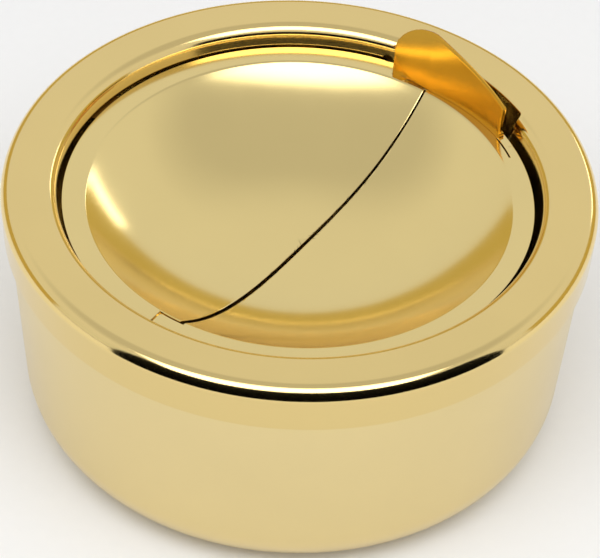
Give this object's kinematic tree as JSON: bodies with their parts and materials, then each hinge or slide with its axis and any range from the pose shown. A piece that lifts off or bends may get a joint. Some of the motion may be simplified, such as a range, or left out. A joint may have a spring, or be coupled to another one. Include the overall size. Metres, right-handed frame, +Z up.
{
  "type": "tipping-lid table ashtray",
  "caption": "Round gold-coloured metal table ashtray: a drawn pot, a lift-off ring cover with a dished lid in two halves, and a thumb lever that tips one half to drop the ash inside.",
  "frame": {"origin": "centre of the pot's underside, on the surface that it stands on", "axes": "+Z up; the flap's hinge axis runs along Y, the flap lies on the +X side of the seam, and the thumb lever is at the seam's +Y end"},
  "size_m": [0.12, 0.12, 0.0643],
  "materials": {
    "gold_pot": "polished, slightly hazy",
    "gold_ring": "mirror polished",
    "gold_dish": "mirror polished",
    "gold_lever": "polished, fine grain from pressing",
    "gold_inner": "plain plated",
    "plain_steel": "plain",
    "spring_steel": "drawn wire"
  },
  "bodies": {
    "pot": {"ash_pot": "gold_pot"},
    "cover": {"rim_ring": "gold_ring", "fixed_dish_half": "gold_dish", "hinge_rivet_near": "plain_steel", "hinge_rivet_far": "plain_steel", "hinge_washer_near": "plain_steel", "hinge_washer_far": "plain_steel", "return_spring": "spring_steel", "fixing_clip_1": "gold_inner", "fixing_clip_2": "gold_inner", "fixing_clip_3": "gold_inner"},
    "flap": {"flap_dish_half": "gold_dish", "thumb_lever": "gold_lever", "hinge_arm_near": "gold_inner", "hinge_arm_far": "gold_inner"}
  },
  "joints": [
    {"name": "cover_lift", "type": "slide", "parent": "pot", "child": "cover", "axis": [0, 0, 1], "range_m": [0, 0.06]},
    {"name": "flap_tip", "type": "hinge", "parent": "cover", "child": "flap", "pos_m": [-0.01, 0, 0.0484], "axis": [0, 1, 0], "range_deg": [0, 45], "stiffness_Nm_per_rad": 0.009, "springref_deg": -77.35, "deforming": ["return_spring"]}
  ]
}
